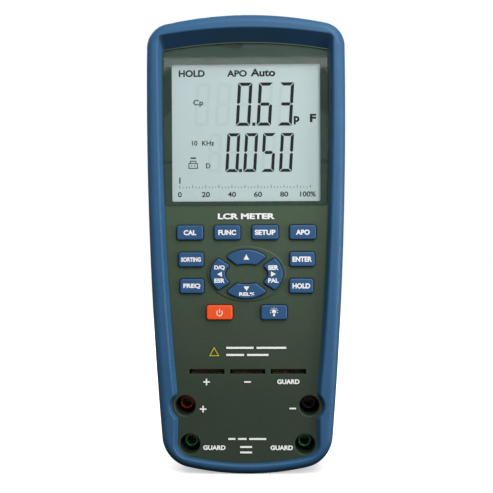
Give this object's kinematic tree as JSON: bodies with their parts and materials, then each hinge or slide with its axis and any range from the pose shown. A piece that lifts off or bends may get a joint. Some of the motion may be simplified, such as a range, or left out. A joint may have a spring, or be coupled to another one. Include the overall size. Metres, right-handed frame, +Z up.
{
  "type": "lcr meter",
  "caption": "Hand-held LCR meter with a large LCD behind a bowed lens, sprung keys, test slots, shrouded jacks, a soft rim, a tilt stand and a battery door.",
  "frame": {"origin": "middle of the lower end: on the centre line, at mid depth, at the lowest point of the case", "axes": "+X to the right of the reader, +Y into the meter from its face towards its back, +Z up the case towards the display"},
  "size_m": [0.0832, 0.041, 0.193],
  "materials": {
    "case_green": "fine matt texture",
    "rim_blue": "satin soft-touch rubber",
    "lens_clear": "clear and polished",
    "mask_green": "gloss, printed behind the lens",
    "key_blue": "satin with white legends",
    "key_orange": "satin with a white mark",
    "silicone_grey": "matt silicone",
    "board_green": "gloss solder resist",
    "black_plastic": "matt",
    "lcd_pale": "pale grey satin polariser",
    "holder_white": "matt",
    "backlight_white": "milky acrylic",
    "zebra_pink": "matt elastomer",
    "bronze": "spring bronze",
    "brass": "plated brass",
    "post_red": "gloss",
    "post_black": "gloss",
    "post_green": "gloss",
    "battery_sleeve": "gloss printed sleeve, blank",
    "plated_steel": "nickel plated",
    "lead_red": "PVC insulation",
    "lead_black": "PVC insulation",
    "foam_black": "foam",
    "stand_green": "fine matt texture",
    "chip_black": "moulded epoxy",
    "can_aluminium": "drawn can",
    "tinned_steel": "tin plated",
    "fuse_glass": "clear"
  },
  "bodies": {
    "case": {"front_case": "case_green", "rear_case": "case_green", "front_rim": "rim_blue", "rear_rim": "rim_blue", "display_lens": "lens_clear", "lens_mask": "mask_green", "keypad_mat": "silicone_grey", "main_board": "board_green", "input_board": "board_green", "board_header": "black_plastic", "header_pins": "brass", "lcd_glass": "lcd_pale", "lcd_holder": "holder_white", "backlight": "backlight_white", "zebra_strips": "zebra_pink", "slot_housing": "black_plastic", "slot_contacts_plus": "bronze", "slot_contacts_minus": "bronze", "slot_contacts_guard": "bronze", "jack_post_plus": "post_red", "jack_post_minus": "post_black", "jack_post_guard_left": "post_green", "jack_post_guard_right": "post_green", "battery": "battery_sleeve", "battery_terminals": "plated_steel", "battery_snap": "black_plastic", "battery_lead_red": "lead_red", "battery_lead_black": "lead_black", "case_screws": "plated_steel", "board_screws": "plated_steel", "buzzer": "black_plastic", "chips": "chip_black", "capacitors": "can_aluminium", "crystal": "plated_steel", "shield": "tinned_steel", "fuse_glass": "fuse_glass", "fuse_clips": "brass", "jack_contact_plus": "brass", "jack_contact_minus": "brass", "jack_contact_guard_left": "brass", "jack_contact_guard_right": "brass"},
    "key_cal": {"key_cal": "key_blue"},
    "key_func": {"key_func": "key_blue"},
    "key_setup": {"key_setup": "key_blue"},
    "key_apo": {"key_apo": "key_blue"},
    "key_sorting": {"key_sorting": "key_blue"},
    "key_enter": {"key_enter": "key_blue"},
    "key_freq": {"key_freq": "key_blue"},
    "key_hold": {"key_hold": "key_blue"},
    "key_power": {"key_power": "key_orange"},
    "key_backlight": {"key_backlight": "key_blue"},
    "key_up": {"key_up": "key_blue"},
    "key_down": {"key_down": "key_blue"},
    "key_right": {"key_right": "key_blue"},
    "key_left": {"key_left": "key_blue"},
    "stand": {"tilt_stand": "stand_green"},
    "door": {"battery_door": "case_green", "door_screw": "plated_steel", "battery_pad": "foam_black"}
  },
  "joints": [
    {"name": "press_cal", "type": "slide", "parent": "case", "child": "key_cal", "axis": [0, 1, 0], "range_m": [0, 0.0008], "stiffness_N_per_m": 300, "springref_m": -0.001},
    {"name": "press_func", "type": "slide", "parent": "case", "child": "key_func", "axis": [0, 1, 0], "range_m": [0, 0.0008], "stiffness_N_per_m": 300, "springref_m": -0.001},
    {"name": "press_setup", "type": "slide", "parent": "case", "child": "key_setup", "axis": [0, 1, 0], "range_m": [0, 0.0008], "stiffness_N_per_m": 300, "springref_m": -0.001},
    {"name": "press_apo", "type": "slide", "parent": "case", "child": "key_apo", "axis": [0, 1, 0], "range_m": [0, 0.0008], "stiffness_N_per_m": 300, "springref_m": -0.001},
    {"name": "press_sorting", "type": "slide", "parent": "case", "child": "key_sorting", "axis": [0, 1, 0], "range_m": [0, 0.0008], "stiffness_N_per_m": 300, "springref_m": -0.001},
    {"name": "press_enter", "type": "slide", "parent": "case", "child": "key_enter", "axis": [0, 1, 0], "range_m": [0, 0.0008], "stiffness_N_per_m": 300, "springref_m": -0.001},
    {"name": "press_freq", "type": "slide", "parent": "case", "child": "key_freq", "axis": [0, 1, 0], "range_m": [0, 0.0008], "stiffness_N_per_m": 300, "springref_m": -0.001},
    {"name": "press_hold", "type": "slide", "parent": "case", "child": "key_hold", "axis": [0, 1, 0], "range_m": [0, 0.0008], "stiffness_N_per_m": 300, "springref_m": -0.001},
    {"name": "press_power", "type": "slide", "parent": "case", "child": "key_power", "axis": [0, 1, 0], "range_m": [0, 0.0008], "stiffness_N_per_m": 300, "springref_m": -0.001},
    {"name": "press_backlight", "type": "slide", "parent": "case", "child": "key_backlight", "axis": [0, 1, 0], "range_m": [0, 0.0008], "stiffness_N_per_m": 300, "springref_m": -0.001},
    {"name": "press_up", "type": "slide", "parent": "case", "child": "key_up", "axis": [0, 1, 0], "range_m": [0, 0.0008], "stiffness_N_per_m": 300, "springref_m": -0.001},
    {"name": "press_down", "type": "slide", "parent": "case", "child": "key_down", "axis": [0, 1, 0], "range_m": [0, 0.0008], "stiffness_N_per_m": 300, "springref_m": -0.001},
    {"name": "press_right", "type": "slide", "parent": "case", "child": "key_right", "axis": [0, 1, 0], "range_m": [0, 0.0008], "stiffness_N_per_m": 300, "springref_m": -0.001},
    {"name": "press_left", "type": "slide", "parent": "case", "child": "key_left", "axis": [0, 1, 0], "range_m": [0, 0.0008], "stiffness_N_per_m": 300, "springref_m": -0.001},
    {"name": "stand_swing", "type": "hinge", "parent": "case", "child": "stand", "pos_m": [0, 0.018, 0.15], "axis": [1, 0, 0], "range_deg": [0, 60]},
    {"name": "door_tilt", "type": "hinge", "parent": "case", "child": "door", "pos_m": [0, 0.0193, 0.135], "axis": [1, 0, 0], "range_deg": [0, 40]}
  ]
}
